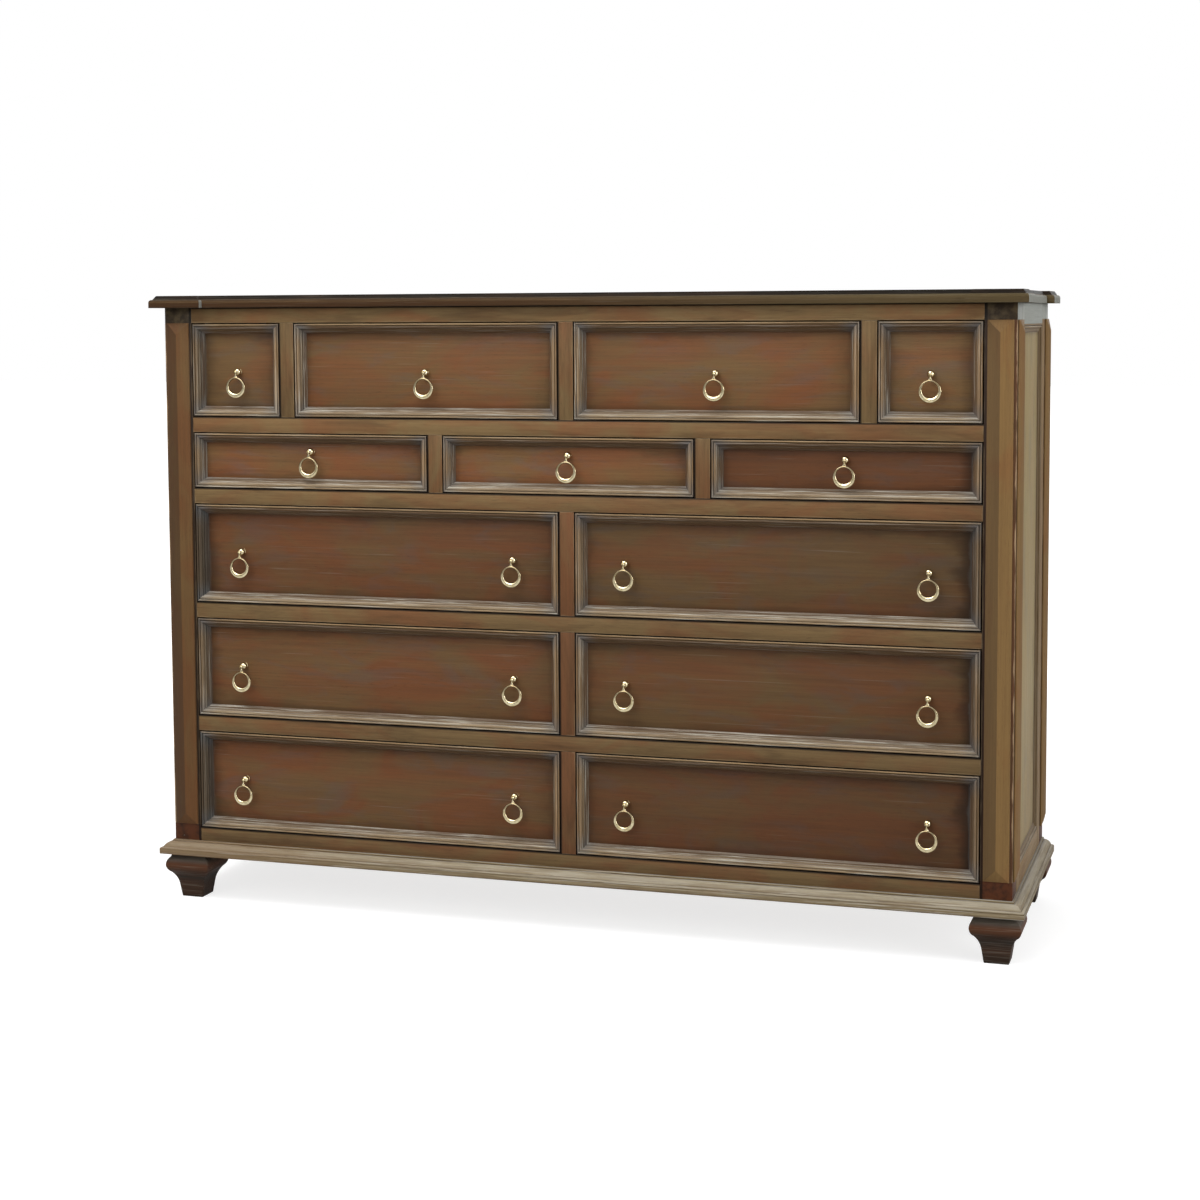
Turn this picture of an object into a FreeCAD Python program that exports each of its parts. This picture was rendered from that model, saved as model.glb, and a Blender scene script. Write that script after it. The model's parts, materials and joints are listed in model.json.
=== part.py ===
import FreeCAD, Part
import math
import os
from FreeCAD import Placement, Rotation, Vector

# A wide dresser with thirteen inset drawers, corner posts and brass ring pulls.
# Millimetres. X to the right, Y from front to back, Z up. The origin is on the floor,
# under the middle of the top.

# Carcass
opening_width = 1500.0       # clear width between the front posts
body_depth = 485.0           # front of the face frame to the back of the rear posts
post_side = 56.0             # posts are square

# Drawer rows, counted from the top
first_row_height = 178.0
second_row_height = 107.0
large_row_height = 190.5     # the three lower rows
small_opening_width = 183.5  # the two outer drawers of the first row

# Face frame
rail_depth = 22.0            # front to back, stiles too
rail_height = 29.5           # between two rows
top_rail_height = 29.0
bottom_rail_height = 26.0
stile_width = 29.0

# Applied pilasters on the posts, with a ridge along the middle and sloping ends
pilaster_width = 45.0
pilaster_edge = 3.0          # thickness at the rim
pilaster_ridge = 9.5         # thickness at the ridge
pilaster_hip = 22.0          # length of a sloping end
plinth_height = 32.0         # bare post below the pilaster

# Top board, broken forward at its corners
top_overhang_front = 25.0
top_overhang_side = 21.0
top_overhang_rear = 20.0
top_block = 107.0            # length of a corner that stands forward
top_break_front = 11.0       # how far the front steps back between the corners
top_break_side = 14.0
top_fascia = 10.0            # height of the upright edge
top_ovolo_rise = 5.5
top_ovolo_run = 4.5
top_fillet = 1.2             # little flat step above the ovolo
top_slope_rise = 7.5
top_slope_run = 5.3

# Base frame with a moulded edge
base_height = 26.0
base_projection = 23.0       # beyond the posts
base_inside = 62.0           # width of the frame inside the line of the posts
base_bead = 1.8              # radius of the bead at the top of the edge
base_groove = 1.6
base_bow = 1.6               # how far the slope bulges
base_slope_drop = 10.0
base_lip = 2.4               # flat lip below the slope
base_lip_round = 3.0

# Feet, square bulbs
foot_height = 90.0
foot_bottom = 44.0
foot_ankle = 51.0
foot_ankle_height = 24.0
foot_hollow = 2.3            # depth of the curve between ankle and waist
foot_waist = 74.0
foot_waist_height = 50.0
foot_bulge = 90.6
foot_bulge_height = 67.0
foot_shoulder = 76.0
foot_shoulder_height = 80.5
foot_top = 68.0
foot_setback = 34.0          # front and rear faces of the body to a foot's centre

# Sides, a frame with a sunk panel
side_frame_thickness = 22.0
side_stile_width = 41.0
side_rail_height = 37.0
side_panel_thickness = 8.0
side_panel_sink = 6.0        # from the face of the frame to the panel
side_panel_tongue = 8.0      # how far the panel enters the frame

# Inside of the carcass
runner_thickness = 20.0
runner_bearing = 34.0        # how far a runner reaches under a drawer
guide_height = 25.0
rear_rail_depth = 22.0
back_thickness = 6.0
back_inset = 8.0             # back panel to the rear face of the posts
bottom_thickness = 18.0

# Drawers
front_gap = 2.2              # round a drawer front
front_thickness = 16.0
box_gap = 1.6                # beside a drawer box
box_wall = 12.0
box_headroom = 16.0          # above a drawer side
box_tail_gap = 8.0           # behind a closed drawer
box_bottom_thickness = 6.0
box_bottom_lift = 9.0        # drawer bottom above the runner
box_groove = 6.0             # depth of the groove that holds the drawer bottom
box_back_drop = 6.0          # back of a drawer below its sides

# Moulding round a drawer front
moulding_height = 16.0
moulding_fillet = 2.8
moulding_quirk = 1.2
moulding_bead = 3.0          # radius
moulding_step = 2.6          # width of each of two steps
moulding_drop = 3.6          # height of each step
moulding_slope = 2.8         # width of the slope down to the panel
moulding_toe = 1.0           # height left at the end of the slope

# Moulding round a side panel
side_moulding_fillet = 2.8
side_moulding_quirk = 1.2
side_moulding_bead = 1.8
side_moulding_step = 2.6
side_moulding_drop = 1.2
side_moulding_slope = 2.8
side_moulding_toe = 0.6

# Ring pulls
pull_offset = 275.0          # from the middle of a wide drawer
pull_rise_first = -3.5       # hinge above the middle of a drawer opening, first row
pull_rise_second = 18.5
pull_rise_large = 3.0
pull_reach = 17.0            # from the drawer panel to the hinge
collar_radius = 5.6
collar_height = 1.6
ball_radius = 7.0
ball_reach = 7.2             # from the drawer panel to the middle of the ball
knuckle_radius = 3.8
knuckle_slot = 2.8
knuckle_slot_back = 2.55     # from the hinge to the bottom of the slot
ring_drop = 29.5             # hinge to the middle of the ring
ring_radius = 19.7
ring_hole_radius = 14.3
ring_hole_lift = 2.6         # the hole sits above the middle, so the ring is heavier below
ring_thickness = 5.2
ring_round = 1.2
neck_thickness = 2.8
neck_half_base = 9.0
neck_waist = 6.2             # hinge to the narrow part of the neck
neck_half_waist = 1.6
eye_radius = 2.2
eye_width = 2.2
pin_radius = 0.9
pin_clearance = 0.05
pin_length = 7.0
screw_radius = 2.0
screw_bite = 6.5             # length of the screw inside the stud
screw_hole_clearance = 0.3
screw_thread_clearance = 0.05
screw_head_radius = 4.0
screw_head_height = 2.6

# Places worked out from the sizes
half_opening = opening_width / 2
half_body = half_opening + post_side
front_y = -(body_depth + top_overhang_rear - top_overhang_front) / 2
rear_y = front_y + body_depth
front_post_back_y = front_y + post_side
rear_post_front_y = rear_y - post_side
back_y = rear_y - back_inset - back_thickness
rear_rail_y = back_y - rear_rail_depth
rail_back_y = front_y + rail_depth
panel_y = front_y + moulding_height
box_front_y = panel_y + front_thickness
box_back_y = back_y - box_tail_gap
base_z = foot_height
floor_of_body = base_z + base_height
half_stile = stile_width / 2
runner_outer_x = half_body - side_frame_thickness

# Facings: local x to the right along the face, local y up, local z out of the face
X, Y, Z = Vector(1, 0, 0), Vector(0, 1, 0), Vector(0, 0, 1)
FRONT = Rotation(X, Z, -Y, "ZXY")
RIGHT = Rotation(Y, Z, X, "ZXY")
LEFT = Rotation(-Y, Z, -X, "ZXY")


def box(x0, x1, y0, y1, z0, z1):
    return Part.makeBox(x1 - x0, y1 - y0, z1 - z0, Vector(x0, y0, z0))


def moved(shape, position, rotation=Rotation()):
    copy = shape.copy()
    copy.Placement = Placement(position, rotation).multiply(copy.Placement)
    return copy


def polygon(points):
    return Part.makePolygon(points + points[:1])


def face_of(points):
    return Part.Face(polygon(points))


def line(start, end):
    return Part.LineSegment(start, end).toShape()


def arc(start, middle, end):
    return Part.Arc(start, middle, end).toShape()


def round_solid(edges):
    return Part.Face(Part.Wire(edges)).revolve(Vector(), Z, 360)


def save(node, solids):
    Part.makeCompound(solids).exportStep("parts/%s.step" % node)


# Rows and the openings in them, from the top down
def row_table():
    third = (opening_width - 2 * stile_width) / 3
    inner = half_opening - small_opening_width
    first = [
        ("far_left", -half_opening, -inner),
        ("left", -inner + stile_width, -half_stile),
        ("right", half_stile, inner - stile_width),
        ("far_right", inner, half_opening),
    ]
    second = [
        ("left", -half_opening, -half_opening + third),
        ("centre", -third / 2, third / 2),
        ("right", half_opening - third, half_opening),
    ]
    pair = [("left", -half_opening, -half_stile), ("right", half_stile, half_opening)]
    return [
        ("top", first_row_height, first, pull_rise_first, [0.0]),
        ("second", second_row_height, second, pull_rise_second, [0.0]),
        ("third", large_row_height, pair, pull_rise_large, [-pull_offset, pull_offset]),
        ("fourth", large_row_height, pair, pull_rise_large, [-pull_offset, pull_offset]),
        ("bottom", large_row_height, pair, pull_rise_large, [-pull_offset, pull_offset]),
    ]


rows = row_table()
row_floor = {}
level = floor_of_body + bottom_rail_height
for row_name, height, cells, rise, offsets in reversed(rows):
    row_floor[row_name] = level
    level += height + rail_height
rail_top_z = level - rail_height
body_top = rail_top_z + top_rail_height


# Moulding with a fillet, a quirk, a bead, two steps and a slope. Local y runs in from the
# outer edge and local z runs out of the face.
def moulding_face(height, fillet, quirk, bead, step, drop, slope, toe):
    bead_start = fillet + quirk
    bead_end = bead_start + 2 * bead
    shelf = height - bead
    width = bead_end + 2 * step + slope
    corners = [
        (bead_end, shelf - drop), (bead_end + step, shelf - drop),
        (bead_end + step, shelf - 2 * drop), (bead_end + 2 * step, shelf - 2 * drop),
        (width, toe), (width, 0), (0, 0), (0, height), (fillet, height), (fillet, shelf),
        (bead_start, shelf),
    ]
    points = [Vector(0, y, z) for y, z in [(bead_end, shelf)] + corners]
    edges = [line(a, b) for a, b in zip(points, points[1:])]
    crown = Vector(0, bead_start + bead, height)
    edges.append(arc(points[-1], crown, points[0]))
    return Part.Face(Part.Wire(edges)), width


def drawer_moulding_face():
    return moulding_face(moulding_height, moulding_fillet, moulding_quirk, moulding_bead,
                         moulding_step, moulding_drop, moulding_slope, moulding_toe)


def side_moulding_face():
    return moulding_face(side_panel_sink, side_moulding_fillet, side_moulding_quirk,
                         side_moulding_bead, side_moulding_step, side_moulding_drop,
                         side_moulding_slope, side_moulding_toe)


def mitred_strip(face, width, length, height):
    strip = face.extrude(X * length)
    outline = [Vector(0, 0, 0), Vector(length, 0, 0), Vector(length - width, width, 0),
               Vector(width, width, 0)]
    return strip.common(face_of(outline).extrude(Z * height))


# Four mitred strips inside a rectangle whose lower left corner is the local origin
def moulding_frame(section, height, across, up):
    face, width = section
    corners = [(Vector(0, 0, 0), across), (Vector(across, 0, 0), up),
               (Vector(across, up, 0), across), (Vector(0, up, 0), up)]
    strips = []
    for turn, (corner, length) in enumerate(corners):
        strip = mitred_strip(face, width, length, height)
        strips.append(moved(strip, corner, Rotation(Z, 90 * turn)))
    return strips


# Pilaster on a face, centred on local x, from local y 0 up to its length
def pilaster(length):
    half = pilaster_width / 2
    low = [Vector(-half, 0, 0), Vector(half, 0, 0), Vector(half, length, 0), Vector(-half, length, 0)]
    rim = [point + Z * pilaster_edge for point in low]
    foot = Vector(0, pilaster_hip, pilaster_ridge)
    head = Vector(0, length - pilaster_hip, pilaster_ridge)
    outlines = [low[::-1]]
    for index in range(4):
        after = (index + 1) % 4
        outlines.append([low[index], low[after], rim[after], rim[index]])
    outlines += [[rim[0], rim[1], foot], [rim[1], rim[2], head, foot],
                 [rim[2], rim[3], head], [rim[3], rim[0], foot, head]]
    return Part.makeSolid(Part.makeShell([face_of(points) for points in outlines]))


def make_posts():
    length = rail_top_z - floor_of_body - plinth_height
    strip = pilaster(length)
    start_z = floor_of_body + plinth_height
    half_post = post_side / 2
    for side, sign, facing in (("left", -1, LEFT), ("right", 1, RIGHT)):
        x0, x1 = sorted((sign * half_opening, sign * half_body))
        middle_x = sign * (half_opening + half_post)
        for place, y0 in (("front", front_y), ("rear", rear_post_front_y)):
            solids = [box(x0, x1, y0, y0 + post_side, floor_of_body, body_top)]
            solids.append(moved(strip, Vector(sign * half_body, y0 + half_post, start_z), facing))
            if place == "front":
                solids.append(moved(strip, Vector(middle_x, front_y, start_z), FRONT))
            save("%s_%s_post" % (place, side), solids)


# Outline of the top, drawn in by an inset on the front and sides; the back stays straight
def top_outline(inset, z):
    outer_x = half_body + top_overhang_side
    middle_x = outer_x - top_break_side
    step_x = outer_x - top_block
    y0 = front_y - top_overhang_front
    y1 = rear_y + top_overhang_rear
    right = [
        (step_x + inset, y0 + top_break_front + inset), (step_x + inset, y0 + inset),
        (outer_x - inset, y0 + inset), (outer_x - inset, y0 + top_block - inset),
        (middle_x - inset, y0 + top_block - inset), (middle_x - inset, y1 - top_block + inset),
        (outer_x - inset, y1 - top_block + inset), (outer_x - inset, y1),
    ]
    left = [(-x, y) for x, y in reversed(right)]
    return [Vector(x, y, z) for x, y in right + left]


def make_top():
    fascia_z = body_top + top_fascia
    ovolo_z = fascia_z + top_ovolo_rise
    fillet_run = top_ovolo_run + top_fillet
    slope_run = fillet_run + top_slope_run
    slope_z = ovolo_z + top_slope_rise
    board = face_of(top_outline(0, body_top)).extrude(Z * top_fascia)
    tiers = [((0, fascia_z), (top_ovolo_run, ovolo_z)), ((fillet_run, ovolo_z), (slope_run, slope_z))]
    for low, high in tiers:
        tier = Part.makeLoft([polygon(top_outline(*low)), polygon(top_outline(*high))], True, True)
        board = board.fuse(tier)
    save("top_board", [board.removeSplitter()])


def make_face_frame():
    rails = [box(-half_opening, half_opening, front_y, rail_back_y, floor_of_body,
                 floor_of_body + bottom_rail_height)]
    rails.append(box(-half_opening, half_opening, front_y, rail_back_y, rail_top_z, body_top))
    stiles = []
    for row_name, height, cells, rise, offsets in rows:
        z0 = row_floor[row_name]
        if row_name != "bottom":
            rails.append(box(-half_opening, half_opening, front_y, rail_back_y, z0 - rail_height, z0))
        for before, after in zip(cells, cells[1:]):
            stiles.append(box(before[2], after[1], front_y, rail_back_y, z0, z0 + height))
    save("face_frame_rails", rails)
    save("face_frame_stiles", stiles)


def make_sides():
    y0 = front_post_back_y
    y1 = rear_post_front_y
    field_y0 = y0 + side_stile_width
    field_y1 = y1 - side_stile_width
    field_z0 = floor_of_body + side_rail_height
    field_z1 = body_top - side_rail_height
    panel_x1 = half_body - side_panel_sink
    panel = box(panel_x1 - side_panel_thickness, panel_x1, field_y0 - side_panel_tongue,
                field_y1 + side_panel_tongue, field_z0 - side_panel_tongue,
                field_z1 + side_panel_tongue)
    spans = [(y0, field_y0, floor_of_body, body_top), (field_y1, y1, floor_of_body, body_top),
             (field_y0, field_y1, floor_of_body, field_z0), (field_y0, field_y1, field_z1, body_top)]
    solids = [box(runner_outer_x, half_body, *span).cut(panel) for span in spans]
    solids.append(panel)
    strips = moulding_frame(side_moulding_face(), side_panel_sink, field_y1 - field_y0,
                            field_z1 - field_z0)
    solids += [moved(strip, Vector(panel_x1, field_y0, field_z0), RIGHT) for strip in strips]
    save("right_side_panel", solids)
    save("left_side_panel", [solid.mirror(Vector(), X) for solid in solids])


# Edge of the base frame: local y runs out from the line of the posts, z from its underside
def base_face():
    groove_y = 2 * base_bead
    slope_start = groove_y + base_groove
    slope_top = base_height - 2 * base_bead
    lip_z = slope_top - base_slope_drop
    lip_y = base_projection - base_lip_round
    slope_end = lip_y - base_lip
    bow = Vector(0, (slope_start + slope_end) / 2 + base_bow,
                 (slope_top + lip_z) / 2 + base_bow)
    bead_side = Vector(0, groove_y, base_height - base_bead)
    bead_top = Vector(0, base_bead, base_height)
    diagonal = base_bead * math.sqrt(0.5)
    bead_middle = Vector(0, base_bead + diagonal, base_height - base_bead + diagonal)
    lip_diagonal = base_lip_round * math.sqrt(0.5)
    lip_middle = Vector(0, lip_y + lip_diagonal, lip_z - base_lip_round + lip_diagonal)
    points = [Vector(0, y, z) for y, z in [
        (base_projection, lip_z - base_lip_round), (base_projection, 0), (-base_inside, 0),
        (-base_inside, base_height)]] + [bead_top]
    edges = [line(a, b) for a, b in zip(points, points[1:])]
    edges.append(arc(bead_top, bead_middle, bead_side))
    groove = [bead_side, Vector(0, groove_y, slope_top), Vector(0, slope_start, slope_top)]
    edges += [line(a, b) for a, b in zip(groove, groove[1:])]
    slope_foot = Vector(0, slope_end, lip_z)
    lip_edge = Vector(0, lip_y, lip_z)
    edges.append(arc(groove[-1], bow, slope_foot))
    edges.append(line(slope_foot, lip_edge))
    edges.append(arc(lip_edge, lip_middle, points[0]))
    return Part.Face(Part.Wire(edges))


def make_base():
    face = base_face()
    outer_x = half_body + base_projection
    inner_x = half_body - base_inside
    outer_y = front_y - base_projection
    inner_y = front_y + base_inside
    front = moved(face.extrude(X * (2 * outer_x)), Vector(outer_x, front_y, base_z), Rotation(Z, 180))
    front_plan = [Vector(-outer_x, outer_y, base_z), Vector(outer_x, outer_y, base_z),
                  Vector(inner_x, inner_y, base_z), Vector(-inner_x, inner_y, base_z)]
    front = front.common(face_of(front_plan).extrude(Z * base_height))
    run = rear_y - outer_y
    right = moved(face.extrude(X * run), Vector(half_body, rear_y, base_z), Rotation(Z, -90))
    right_plan = [Vector(outer_x, outer_y, base_z), Vector(outer_x, rear_y, base_z),
                  Vector(inner_x, rear_y, base_z), Vector(inner_x, inner_y, base_z)]
    right = right.common(face_of(right_plan).extrude(Z * base_height))
    rear = box(-inner_x, inner_x, rear_y - base_inside, rear_y, base_z, base_z + base_height)
    save("base_moulding", [front, right, right.mirror(Vector(), X), rear])


# Foot outline in local x and z; the same outline seen from the front and from the side
def foot_profile():
    def point(width, z, sign=1):
        return Vector(sign * width / 2, 0, z)

    concave = (foot_ankle_height + foot_waist_height) / 2
    hollow = (foot_ankle + foot_waist) / 2 - 2 * foot_hollow
    edges = [line(point(foot_bottom, 0, -1), point(foot_bottom, 0))]
    for sign in (1, -1):
        ankle = point(foot_ankle, foot_ankle_height, sign)
        waist = point(foot_waist, foot_waist_height, sign)
        shoulder = point(foot_shoulder, foot_shoulder_height, sign)
        edges.append(line(point(foot_bottom, 0, sign), ankle))
        edges.append(arc(ankle, point(hollow, concave, sign), waist))
        edges.append(arc(waist, point(foot_bulge, foot_bulge_height, sign), shoulder))
        edges.append(line(shoulder, point(foot_top, foot_height, sign)))
    edges.append(line(point(foot_top, foot_height, -1), point(foot_top, foot_height)))
    return Part.Face(Part.Wire(Part.__sortEdges__(edges)))


def make_feet():
    face = moved(foot_profile(), Vector(0, -foot_bulge, 0))
    across = face.extrude(Y * (2 * foot_bulge))
    foot = across.common(moved(across, Vector(), Rotation(Z, 90)))
    x = half_opening + post_side / 2
    places = [(sign * x, y) for y in (front_y + foot_setback, rear_y - foot_setback) for sign in (-1, 1)]
    save("feet", [moved(foot, Vector(px, py, 0)) for px, py in places])


def make_inside():
    save("back_panel", [box(-half_opening, half_opening, back_y, back_y + back_thickness,
                            floor_of_body, body_top)])
    board_top = floor_of_body + bottom_rail_height
    save("bottom_board", [box(-half_opening, half_opening, rail_back_y, back_y,
                              board_top - bottom_thickness, board_top)])
    frames = [box(-half_opening, half_opening, rear_rail_y, back_y, rail_top_z, body_top)]
    guides = []
    for row_name, height, cells, rise, offsets in rows:
        z0 = row_floor[row_name]
        stiles = [(before[2], after[1]) for before, after in zip(cells, cells[1:])]
        for x0, x1 in stiles:
            guides.append(box(x0, x1, rail_back_y, rear_rail_y, z0, z0 + guide_height))
        for sign in (-1, 1):
            x0, x1 = sorted((sign * half_opening, sign * runner_outer_x))
            guides.append(box(x0, x1, front_post_back_y, rear_post_front_y, z0, z0 + guide_height))
        if row_name == "bottom":
            continue
        frames.append(box(-half_opening, half_opening, rear_rail_y, back_y, z0 - rail_height, z0))
        for x0, x1 in stiles:
            frames.append(box(x0 - runner_bearing, x1 + runner_bearing, rail_back_y, rear_rail_y,
                              z0 - runner_thickness, z0))
        for sign in (-1, 1):
            x0, x1 = sorted((sign * (half_opening - runner_bearing), sign * runner_outer_x))
            frames.append(box(x0, x1, front_post_back_y, rear_post_front_y,
                              z0 - runner_thickness, z0))
    save("web_frames", frames)
    save("drawer_guides", guides)


# One drawer: moulded front, two sides, back and bottom
def drawer_solids(x0, x1, z0, height, pull_places):
    fx0 = x0 + front_gap
    fx1 = x1 - front_gap
    fz0 = z0 + front_gap
    fz1 = z0 + height - front_gap
    bx0 = x0 + box_gap + front_gap
    bx1 = x1 - box_gap - front_gap
    side_top = z0 + height - box_headroom
    bottom_z = z0 + box_bottom_lift
    bottom_top = bottom_z + box_bottom_thickness
    groove_x = box_wall - box_groove
    bottom = box(bx0 + groove_x, bx1 - groove_x, box_front_y - box_groove, box_back_y,
                 bottom_z, bottom_top)
    front = box(fx0, fx1, panel_y, box_front_y, fz0, fz1).cut(bottom)
    hole_radius = screw_radius + screw_hole_clearance
    for px, pz in pull_places:
        front = front.cut(Part.makeCylinder(hole_radius, front_thickness, Vector(px, panel_y, pz), Y))
    left = box(bx0, bx0 + box_wall, box_front_y, box_back_y, z0, side_top).cut(bottom)
    right = box(bx1 - box_wall, bx1, box_front_y, box_back_y, z0, side_top).cut(bottom)
    back = box(bx0 + box_wall, bx1 - box_wall, box_back_y - box_wall, box_back_y, bottom_top,
               side_top - box_back_drop)
    strips = moulding_frame(drawer_moulding_face(), moulding_height, fx1 - fx0, fz1 - fz0)
    strips = [moved(strip, Vector(fx0, panel_y, fz0), FRONT) for strip in strips]
    return [front, left, right, back, bottom] + strips


# Stud of a pull: a collar, a ball and a slotted knuckle; local z runs out of the drawer panel
def pull_stud():
    hinge = Vector(0, 0, pull_reach)
    collar = Part.makeCylinder(collar_radius, collar_height)
    ball = Part.makeSphere(ball_radius, Z * ball_reach)
    stud = collar.fuse([ball, Part.makeSphere(knuckle_radius, hinge)]).removeSplitter()
    slot = box(-knuckle_slot / 2, knuckle_slot / 2, -knuckle_radius, knuckle_radius,
               pull_reach - knuckle_slot_back, pull_reach + knuckle_radius)
    pin_hole = Part.makeCylinder(pin_radius, 2 * knuckle_radius, hinge - X * knuckle_radius, X)
    thread = Part.makeCylinder(screw_radius + screw_thread_clearance, screw_bite)
    return stud.cut(slot).cut(pin_hole).cut(thread)


def pull_pin():
    return Part.makeCylinder(pin_radius, pin_length, Vector(-pin_length / 2, 0, pull_reach), X)


def pull_screw():
    shank = Part.makeCylinder(screw_radius, front_thickness + screw_bite, Z * -front_thickness)
    head = Part.makeCylinder(screw_head_radius, screw_head_height,
                             Z * -(front_thickness + screw_head_height))
    return shank.fuse(head).removeSplitter()


# Ring with a hole set high, hung by a flared neck and an eye at the local origin
def pull_ring():
    centre = Vector(0, -ring_drop, -ring_thickness / 2)
    finger_hole = Part.makeCylinder(ring_hole_radius, ring_thickness, centre + Y * ring_hole_lift, Z)
    ring = Part.makeCylinder(ring_radius, ring_thickness, centre, Z).cut(finger_hole)
    rims = [edge for edge in ring.Edges if edge.Closed]
    ring = ring.makeFillet(ring_round, rims)
    half_eye = eye_width / 2
    base_y = math.sqrt(ring_radius ** 2 - neck_half_base ** 2) - ring_drop - ring_round
    left = [Vector(-neck_half_base, base_y, 0), Vector(-neck_half_waist, -neck_waist, 0),
            Vector(-half_eye, 0, 0)]
    right = [Vector(-point.x, point.y, 0) for point in left]
    outline = [arc(*left), line(left[2], right[2]), arc(*right), line(right[0], left[0])]
    neck = Part.Face(Part.Wire(Part.__sortEdges__(outline))).extrude(Z * neck_thickness)
    neck = moved(neck, Z * (-neck_thickness / 2))
    eye = Part.makeCylinder(eye_radius, eye_width, Vector(-half_eye, 0, 0), X)
    pin_hole = Part.makeCylinder(pin_radius + pin_clearance, eye_width, Vector(-half_eye, 0, 0), X)
    return ring.fuse([neck, eye]).cut(finger_hole).cut(pin_hole).removeSplitter()


def make_drawers():
    stud = pull_stud()
    pin = pull_pin()
    screw = pull_screw()
    ring = pull_ring()
    for row_name, height, cells, rise, offsets in rows:
        z0 = row_floor[row_name]
        for cell_name, x0, x1 in cells:
            label = "%s_%s" % (row_name, cell_name)
            middle_x = (x0 + x1) / 2
            hinge_z = z0 + height / 2 + rise
            places = [(middle_x + offset, hinge_z) for offset in offsets]
            save("drawer_" + label, drawer_solids(x0, x1, z0, height, places))
            metal = []
            for px, pz in places:
                seat = Vector(px, panel_y, pz)
                metal += [moved(solid, seat, FRONT) for solid in (stud, pin, screw)]
                inner = abs(px) < abs(middle_x)
                suffix = "" if len(places) == 1 else ("_inner" if inner else "_outer")
                save("ring_" + label + suffix, [moved(ring, seat - Y * pull_reach, FRONT)])
            save("pull_studs_" + label, metal)


os.makedirs("parts", exist_ok=True)
make_posts()
make_top()
make_face_frame()
make_sides()
make_base()
make_feet()
make_inside()
make_drawers()
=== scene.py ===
import json
import math
import random

import bmesh
import bpy
from mathutils import Matrix, Vector

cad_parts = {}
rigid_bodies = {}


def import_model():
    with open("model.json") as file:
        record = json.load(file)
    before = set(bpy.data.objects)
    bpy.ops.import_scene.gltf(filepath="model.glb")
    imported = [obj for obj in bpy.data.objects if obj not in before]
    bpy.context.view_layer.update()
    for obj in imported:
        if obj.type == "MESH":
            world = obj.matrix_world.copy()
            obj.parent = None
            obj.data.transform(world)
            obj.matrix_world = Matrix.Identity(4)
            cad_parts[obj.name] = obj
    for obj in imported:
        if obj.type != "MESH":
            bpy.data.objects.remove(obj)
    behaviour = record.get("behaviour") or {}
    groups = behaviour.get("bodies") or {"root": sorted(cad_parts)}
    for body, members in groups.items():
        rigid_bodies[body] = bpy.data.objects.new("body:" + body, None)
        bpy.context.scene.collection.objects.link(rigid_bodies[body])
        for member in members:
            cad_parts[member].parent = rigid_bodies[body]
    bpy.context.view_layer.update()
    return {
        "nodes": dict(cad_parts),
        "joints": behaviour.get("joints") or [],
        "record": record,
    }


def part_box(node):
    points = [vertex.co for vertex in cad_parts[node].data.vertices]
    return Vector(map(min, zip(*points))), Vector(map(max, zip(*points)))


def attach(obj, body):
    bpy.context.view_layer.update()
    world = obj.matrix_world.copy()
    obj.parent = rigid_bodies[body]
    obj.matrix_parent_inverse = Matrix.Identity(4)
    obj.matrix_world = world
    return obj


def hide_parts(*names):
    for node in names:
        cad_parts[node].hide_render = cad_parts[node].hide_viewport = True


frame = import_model()
nodes = frame["nodes"]
bodies = frame["record"]["behaviour"]["bodies"]
body_of_node = {node: body for body, members in bodies.items() for node in members}
chance = random.Random(7)
grain_reach = 20  # metres that a board's grain may be shifted by

MM = 0.001
X, Y, Z = Vector((1, 0, 0)), Vector((0, 1, 0)), Vector((0, 0, 1))

# Sizes the frame does not give, the same as in the solids
post_side = 56 * MM
rail_depth = 22 * MM
front_gap = 2.2 * MM
moulding_height = 16 * MM
moulding_width = 18 * MM
front_thickness = 16 * MM
box_gap = 1.6 * MM
box_wall = 12 * MM
box_headroom = 16 * MM
box_bottom_lift = 9 * MM
box_bottom_thickness = 6 * MM
box_groove = 6 * MM
box_back_drop = 6 * MM
pilaster_width = 45 * MM
pilaster_edge = 3 * MM
pilaster_ridge = 9.5 * MM
pilaster_hip = 22 * MM
plinth_height = 32 * MM
cap_height = 29 * MM
top_block = 107 * MM
top_break_front = 11 * MM
top_break_side = 14 * MM
top_fascia = 10 * MM
top_ovolo_rise = 5.5 * MM
top_ovolo_run = 4.5 * MM
top_fillet = 1.2 * MM
top_slope_run = 5.3 * MM
base_height = 26 * MM
base_projection = 23 * MM
base_inside = 62 * MM
base_bead = 1.8 * MM
base_groove = 1.6 * MM
base_bow = 1.6 * MM
base_slope_drop = 10 * MM
base_lip = 2.4 * MM
base_lip_round = 3 * MM
side_thickness = 22 * MM
side_stile = 41 * MM
side_rail = 37 * MM
side_panel = 8 * MM
side_sink = 6 * MM
side_moulding_width = 15.6 * MM
pull_reach = 17 * MM
collar_radius = 5.6 * MM
collar_height = 1.6 * MM
ball_radius = 7 * MM
ball_reach = 7.2 * MM
knuckle_radius = 3.8 * MM
knuckle_slot = 2.8 * MM
knuckle_slot_back = 2.55 * MM
ring_drop = 29.5 * MM
ring_radius = 19.7 * MM
ring_hole = 14.3 * MM
ring_lift = 2.6 * MM
ring_half_thickness = 2.6 * MM
neck_half_base = 9 * MM
neck_base_drop = 13.2 * MM
neck_waist = 6.2 * MM
neck_half_waist = 1.6 * MM
neck_half_thickness = 1.4 * MM
eye_radius = 2.2 * MM
eye_half_width = 1.1 * MM
eye_hole = 0.95 * MM
pin_radius = 0.9 * MM
pin_half_length = 3.5 * MM
screw_head_radius = 4 * MM
screw_head_height = 2.6 * MM

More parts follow.
